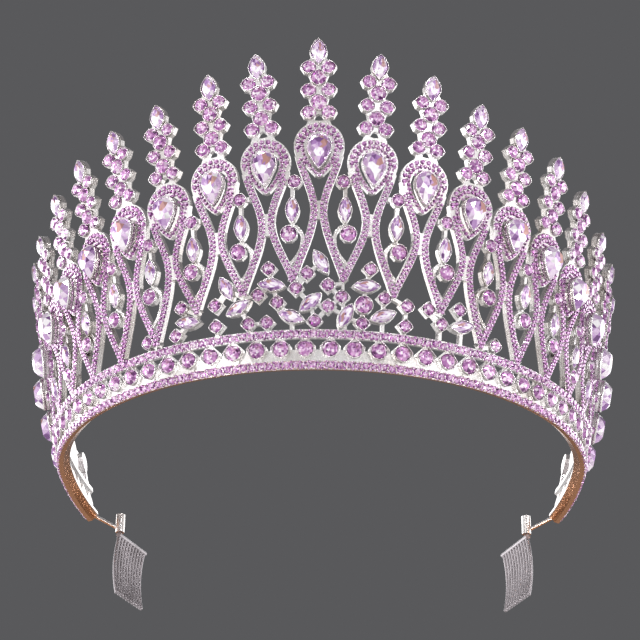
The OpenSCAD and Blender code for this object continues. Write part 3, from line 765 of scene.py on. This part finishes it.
add_walls("bezels_garland", [
    (wall_unit(small_cup, BEZEL), unit_seats(garland_seats(SMALL, 1, 1))),
    (wall_unit(large_cup, BEZEL), unit_seats(garland_seats(LARGE, 1, 1))),
    (wall_unit(marquise_cup, BEZEL), unit_seats(garland_seats(LONG, 1, 1)))])
add_walls("bezels_band_row", [(wall_unit(row_cup, BEZEL), unit_seats(row_seats(1)))])
SCROLL = np.array([[-2.2, -12.2], [-0.7, -11.5], [1.05, -11.8], [2.15, -13.1], [2.55, -14.7], [2.35, -16.7],
                   [1.65, -18.6], [0.45, -20.3], [-0.7, -21.5], [-1.9, -22.4]])
SCROLL_HALF = 0.3


def scroll_ridge(j, side):
    """A thin ridge that runs round the edge of a scroll, so that the wire looks doubled."""
    path = smooth_path(SCROLL * [-side, lens_k(j)], 40)
    normal = outward(path, closed=False)
    return wall_unit(np.vstack([path + normal * SCROLL_HALF, (path - normal * SCROLL_HALF)[::-1]]), RIDGE)


add_walls("scroll_ridges", [
    (scroll_ridge(j, side), [[lens_s(j, side), 0, drop_v(j), PLATE_O - 0.1, 0, 1, 1, 1]])
    for j, side in sides(LAST_SCROLL)])
add_walls("bezels_pears", [(wall_unit(pear_cup, PEAR_BEZEL), unit_seats(PEARS, out=-0.05))])

# %% [markdown]
# ## Pavé
# The halos, bars and rails are paved with stones one or two millimetres wide, held by beads raised
# from the metal between them. The rows are paths, and stones are dropped along them at equal steps.
# A path is a function of its length, so every row, straight or curved, is laid by the same few lines.

# %% The ways of the rows
def bezier(a, b, c, d, n):
    """n + 1 points of a cubic curve by Bernstein weights."""
    t = np.linspace(0, 1, n + 1)[:, None]
    return (1 - t) ** 3 * a + 3 * (1 - t) ** 2 * t * b + 3 * (1 - t) * t ** 2 * c + t ** 3 * d


WAIST_X, FOOT_OUT, CURVE_STEPS = 1.15, 0.25, 24


def bar_way(i, side):
    """Centre line of a bar, from the halo's side by the waist to the lens point, in the bay's drawing."""
    j = abs(i) if i == 0 or np.sign(i) == side else abs(i) - 1
    v = POINT_V[j] - HALO_V[abs(i)]
    foot = np.array([PITCH / 2 * fan(i * PITCH, POINT_V[j]) + FOOT_OUT, v])
    k = min(1, -v / FULL_BAR)
    start, bend = np.array([5.2, -0.5]), np.array([4.4, -5 * k])
    above, waist, below = (np.array([WAIST_X, depth * k]) for depth in (-10, -15, -20))
    upper = bezier(start, bend, above, waist, CURVE_STEPS)
    lower = bezier(waist, below, foot + [-2.4, 7 * k], foot, CURVE_STEPS)
    return np.vstack([upper, lower[1:]]) * [side, 1]


# The halo's arch has its centre ARCH_V above the pear's and the radius ARCH_R. Its outer row lies
# HALO_IN inside that, and its beads stay BEAD_IN inside it. The bars' rows start after BAR_SKIP points
# of their way. The inner ring has the radius INNER_R; small stones fill a lattice within EDGE_R where
# no other stone is nearer than FILL_CLEAR.
ARCH_V, ARCH_R, HALO_IN, BEAD_IN, HALO_STEP = 2.0, 6.4, 0.95, 0.36, 1.62
BAR_STEP, BAR_APART, BAR_SKIP = 1.14, 0.43, 3
BEAD_SIDE, BEAD_OUT = 0.46, 0.33
INNER_R, EDGE_R, RING_STEP = 4.32, 5.95, 1.1
FILL_X, FILL_Y, FILL_CLEAR = 0.62, 1.07, 0.86


def halo_way(side, radius):
    """Half of a halo's arch from its top down one side to where the bar leaves it."""
    a = np.linspace(math.pi / 2, math.radians(-14), 30)
    return np.stack([side * radius * np.cos(a), ARCH_V + radius * np.sin(a)], 1)


def spaced(path, step):
    """Points at about equal steps along an open path, and the unit direction there."""
    length = lengths(path)[-1]
    count = max(int(length / step), 1)
    at = (np.arange(count) + 0.5) * length / count
    along = points_at(path, at + 0.05) - points_at(path, at - 0.05)
    return points_at(path, at), along / np.maximum(np.hypot(*along.T), 1e-9)[:, None]


def row(path, step):
    """Stones along a path and, before each, a bead at either side: (stones, beads), rows of 2."""
    points, along = spaced(path, step)
    side = np.stack([-along[:, 1], along[:, 0]], 1)
    back = points - along * step / 2
    return points, np.vstack([back + side * step * BEAD_SIDE, back - side * step * BEAD_SIDE])


def double_row(path, step, apart):
    """Two staggered rows beside a path, and a bead at each outer edge between two stones."""
    stones, beads = [], []
    for side, first in ((-1, 0), (1, 1)):
        points, along = (both[first::2] for both in spaced(path, step / 2))
        normal = np.stack([-along[:, 1], along[:, 0]], 1)
        stones.append(points + side * normal * apart)
        beads.append(points + along * step / 2 + side * normal * (apart + BEAD_OUT))
    return np.vstack(stones), np.vstack(beads)


def inside(points, outline):
    """True for points inside a closed outline, by counting the edges that a ray to the right crosses."""
    a, b = outline[None], np.roll(outline, -1, 0)[None]
    x, y = points[:, None, 0], points[:, None, 1]
    spans = (a[..., 1] > y) != (b[..., 1] > y)
    rise = np.where(spans, b[..., 1] - a[..., 1], 1)
    return (spans & (x < a[..., 0] + (y - a[..., 1]) * (b[..., 0] - a[..., 0]) / rise)).sum(1) % 2 == 1


arch_turn = np.linspace(math.radians(-8), math.radians(188), 40)
INNER_ARCH = np.stack([INNER_R * np.cos(arch_turn), ARCH_V - 0.1 + INNER_R * np.sin(arch_turn)], 1)
INNER_V = np.array([[-3.9, -0.6], [-3.2, -2.1], [-2.2, -3.6], [-1.1, -4.9], [0, -5.75],
                    [1.1, -4.9], [2.2, -3.6], [3.2, -2.1], [3.9, -0.6]])
V_ROW = np.array([[-4.6, -1.7], [-3.5, -2.5], [3.5, -2.5], [4.6, -1.7]])
edge_turn = np.radians(np.arange(-20, 201, 10))
HALO_EDGE = np.vstack([np.stack([EDGE_R * np.cos(edge_turn), ARCH_V + EDGE_R * np.sin(edge_turn)], 1),
                       [[-3.7, -2], [-2.5, -3.9], [-0.9, -5.6], [0.9, -5.6], [2.5, -3.9], [3.7, -2]]])
grid = np.stack(np.meshgrid(np.arange(-6, 6.1, FILL_X), np.arange(-7, 9, FILL_Y)), -1)
grid[::2, :, 0] += FILL_X / 2
LATTICE = grid.reshape(-1, 2)
LATTICE = LATTICE[inside(LATTICE, HALO_EDGE) & ~inside(LATTICE, grown(PEAR, PEAR_W, PEAR_L, 1.1))]
halos, rings, bars = [], [], []
for i in BAYS:
    centre = np.array([0, HALO_V[abs(i)]])
    for side in (-1, 1):
        stones, beads = row(halo_way(side, ARCH_R - HALO_IN), HALO_STEP)
        beads = beads - [0, ARCH_V]
        pull = np.minimum(1, (ARCH_R - BEAD_IN) / np.hypot(*beads.T)[:, None])
        halos.append((i, stones + centre, beads * pull + [0, ARCH_V] + centre))
        if abs(i) < LAST_SPIRE:
            stones, beads = double_row(bar_way(i, side)[BAR_SKIP:], BAR_STEP, BAR_APART)
            bars.append((i, stones + centre, beads + centre))
    stones = spaced(np.vstack([INNER_ARCH, INNER_V, INNER_ARCH[:1]]), RING_STEP)[0]
    taken = np.vstack([stones, halos[-1][1] - centre, halos[-2][1] - centre])
    apart = np.hypot(*(LATTICE[:, None] - taken[None]).transpose(2, 0, 1)).min(1)
    free = LATTICE[apart > FILL_CLEAR]
    rings.append((i, np.vstack([stones, V_ROW]) + centre, free + centre))
print("rows laid:", len(halos), "on the halos and", len(bars), "on the bars")

# %% [markdown]
# ## Laying the pavé
# A setter fills every free spot with small stones and raises beads between them. They could be
# scattered by chance, but the rows would be lost, so the rows come first and a lattice fills only what
# they leave. The stones are low, with a few faces each, because there are thousands of them; only
# the larger ones of the rails have the full cut.

# %% Lay the pavé
PAVE_O, RAIL_O = PLATE_O - 0.02, -0.05
RAIL_STEP, RAIL_IN, LARGE_DV, SMALL_DV, BEAD_DV, BEAD_SHIFTS = 2.16, 1.1, 0.12, 0.78, 0.92, (0.52, 1.64)
STONES, BEADS = 1, 2
# Diameter and thickness of the stones, then of the beads.
HALO_SIZE, RING_SIZE, FILL_SIZE, BAR_SIZE = (1.36, 0.6), (1.1, 0.6), (0.66, 0.5), (0.98, 0.5)
LARGE_SIZE, SMALL_SIZE = (1.96, 0.66), (0.84, 0.4)
HALO_BEAD, BAR_BEAD, RAIL_BEAD = (0.46, 0.55), (0.34, 0.5), (0.36, 0.42)


def turned(count, levels):
    """Unit shape of rings (radius, height), closed below and fanned to a point of height 1 on top."""
    a = np.arange(count) * 2 * math.pi / count
    circle = np.stack([np.cos(a), np.sin(a)], 1)
    rings = [np.column_stack([circle * r, np.full(count, z)]) for r, z in levels]
    n = np.arange(count)
    on = (n + 1) % count
    top = count * (len(levels) - 1)
    quads = np.vstack([np.stack([n, on, on + count, n + count], 1) + low for low in range(0, top, count)])
    tris = np.stack([np.full(count, top + count), n + top, on + top], 1)
    return np.vstack([*rings, [0, 0, 1.0]]), [quads, tris, n[::-1][None, :]]


# A pavé stone has a ring at its seat, a girdle and a table, and kinds of facet like a brilliant's.
PAVE = (*turned(8, [(0.5, -0.25), (0.5, 0.3), (0.35, 1.0)]),
        np.repeat([SIDE, GIRDLE, WEDGE, SIDE], [8, 8, 8, 1]))
BEAD = turned(6, [(0.5, 0.0), (0.38, 0.6)])


def sized(places, d, t):
    """Seats at places (s, x, y, o), d wide, t thick and each turned by chance."""
    n = len(places)
    return np.column_stack([places, random.uniform(0, 6, n), np.full((n, 2), d), np.full(n, t)])


def seats_from(rows, pick, d, t):
    """Seats at the STONES or BEADS of rows (bay, stones, beads) on the plates; a ring has its fill there."""
    places = [np.column_stack([np.full(len(r[pick]), r[0] * PITCH), r[pick], np.full(len(r[pick]), PAVE_O)])
              for r in rows]
    return sized(np.vstack(places), d, t)


def rail_row(v, shift=0.0):
    """Places along a rail at height v above the rim; v may be one number or a pair taken in turn."""
    s = np.arange(RAIL_IN + shift - HALF_LEN, HALF_LEN - RAIL_IN, RAIL_STEP)
    heights = np.resize(np.atleast_1d(v), len(s))
    return np.column_stack([s, np.zeros_like(s), heights, np.full_like(s, RAIL_O)])


set_stones("pave_halos", [(PAVE, seats_from(halos, STONES, *HALO_SIZE), 0.1, 0.24, 0.1),
                          (PAVE, seats_from(rings, STONES, *RING_SIZE), 0.16, 0.26, 0.3),
                          (PAVE, seats_from(rings, BEADS, *FILL_SIZE), 0.1, 0.26, 0.2)], PAVE_CRYSTAL)
set_stones("pave_bars", [(PAVE, seats_from(bars, STONES, *BAR_SIZE), 0.1, 0.24, 0.1)], PAVE_CRYSTAL)
# On each rail: large stones a little up and down in turn, small ones between them at both edges,
# and beads beside the small ones.
rail_vs = [RAIL_H / 2, BAND_TOP - RAIL_H / 2]
rail_edges = [(v, side) for v in rail_vs for side in (-1, 1)]
large = np.vstack([rail_row([v + LARGE_DV, v - LARGE_DV]) for v in rail_vs])
small = np.vstack([rail_row(v + side * SMALL_DV, RAIL_STEP / 2) for v, side in rail_edges])
rail_beads = np.vstack([rail_row(v + side * BEAD_DV, shift)
                        for v, side in rail_edges for shift in BEAD_SHIFTS])
set_stones("pave_rails", [(round_cut, sized(large, *LARGE_SIZE), 0.14, 0.32, 0.35),
                          (PAVE, sized(small, *SMALL_SIZE), 0.1, 0.3, 0.25)], PAVE_CRYSTAL)
add_walls("pave_beads", [
    (BEAD, seats_from(halos, BEADS, *HALO_BEAD)),
    (BEAD, seats_from(bars, BEADS, *BAR_BEAD)),
    (BEAD, sized(rail_beads, *RAIL_BEAD))])

# %% [markdown]
# ## Camera
# The camera looks up at the crown from the front, as the photograph does, with a long lens. Its
# place and turns were solved from points of the crown that can be told in the photograph.

# %% Camera
# Place in metres and turns in radians; film width in millimetres, then focal length and picture
# width in pixels.
CAMERA_AT = (0.0090, -0.5232, -0.2059)
PITCH_UP, TURN_LEFT, ROLL = 0.45225, 0.01889, 0.01086
FILM, FOCAL, PICTURE = 36, 2032.5, 640
camera = bpy.data.objects.new("camera", bpy.data.cameras.new("camera"))
bpy.context.scene.collection.objects.link(camera)
camera.data.sensor_width = FILM
camera.data.lens = FILM * FOCAL / PICTURE
camera.matrix_world = (Matrix.Translation(CAMERA_AT) @ Matrix.Rotation(TURN_LEFT, 4, "Z")
                       @ Matrix.Rotation(math.pi / 2 + PITCH_UP, 4, "X") @ Matrix.Rotation(ROLL, 4, "Z"))
bpy.context.scene.camera = camera
print("lens in mm:", round(camera.data.lens, 1))

# %% [markdown]
# ## Floor and lamps
# Plating and crystal only look right when they have soft, wide lights to mirror. One strong lamp
# would give hard spots, so panels stand on an arc all round the crown, the dimmest in front, with a
# few small lamps for the sparkle. The floor is a plain pale sheet far below.

# %% Floor, lamps and sky
FLOOR_HALF, FLOOR_Z = 6.0, -0.42
floor_mesh = bpy.data.meshes.new("floor")
corners = [(x * FLOOR_HALF, y * FLOOR_HALF, FLOOR_Z) for x, y in ((-1, -1), (1, -1), (1, 1), (-1, 1))]
floor_mesh.from_pydata(corners, [], [(0, 1, 2, 3)])
floor = bpy.data.objects.new("floor", floor_mesh)
bpy.context.scene.collection.objects.link(floor)
pale = bpy.data.materials.new("pale_floor")
pale.use_nodes = True
pale_shader = pale.node_tree.nodes["Principled BSDF"]
pale_shader.inputs["Base Color"].default_value = (0.72, 0.71, 0.70, 1)
pale_shader.inputs["Roughness"].default_value = 0.8
floor_mesh.materials.append(pale)
AIM = Vector((0, -0.03, 0.03))


def lamp(name, at, size, watts):
    """A rectangular soft light at a point, turned towards the crown."""
    data = bpy.data.lights.new(name, "AREA")
    data.shape, data.size, data.size_y = "RECTANGLE", size[0], size[1]
    data.energy = watts
    made = bpy.data.objects.new(name, data)
    bpy.context.scene.collection.objects.link(made)
    back = Vector(at) - AIM
    made.matrix_world = Matrix.Translation(at) @ back.to_track_quat("Z", "Y").to_matrix().to_4x4()


# Soft panels on an arc round the crown: angle from the front in degrees, and brightness in watts.
PANELS = [(-130, 7.5), (-88, 3.6), (-44, 1.8), (0, 0.9), (44, 1.6), (88, 3.0), (130, 5.2)]
PANEL_R, PANEL_Z, PANEL_SIZE = 1.25, 0.12, (0.95, 0.8)
for angle, watts in PANELS:
    turn = math.radians(angle)
    lamp(f"panel_{angle}", (PANEL_R * math.sin(turn), -PANEL_R * math.cos(turn), PANEL_Z), PANEL_SIZE, watts)
lamp("back_soft", (0.0, 1.1, 0.6), (1.0, 0.6), 4)
lamp("key", (-0.45, -0.9, 0.75), (0.28, 0.28), 5)
SPARKLES = [(0.5, -0.9, 0.35), (-0.7, -0.8, -0.1), (0.15, -1.2, 0.7), (-0.15, -0.9, -0.38),
            (0.8, -0.6, -0.15)]
for n, at in enumerate(SPARKLES):
    lamp(f"sparkle_{n}", at, (0.1, 0.1), 1.6)
# The sky lights the crown with one grey and shows the camera a darker one.
SKY_LIGHT, SKY_SEEN = (0.27, 0.26, 0.27, 1), (0.10, 0.10, 0.105, 1)
world = bpy.data.worlds.new("studio")
bpy.context.scene.world = world
world.use_nodes = True
tree = world.node_tree
sky = tree.nodes["Background"]
rays, choose = tree.nodes.new("ShaderNodeLightPath"), tree.nodes.new("ShaderNodeMix")
choose.data_type = "RGBA"
choose.inputs["A"].default_value = SKY_LIGHT
choose.inputs["B"].default_value = SKY_SEEN
wire(tree, rays.outputs["Is Camera Ray"], choose.inputs["Factor"])
wire(tree, choose.outputs["Result"], sky.inputs["Color"])
bpy.context.scene.view_settings.view_transform = "Standard"
print("pieces:", len(pieces))
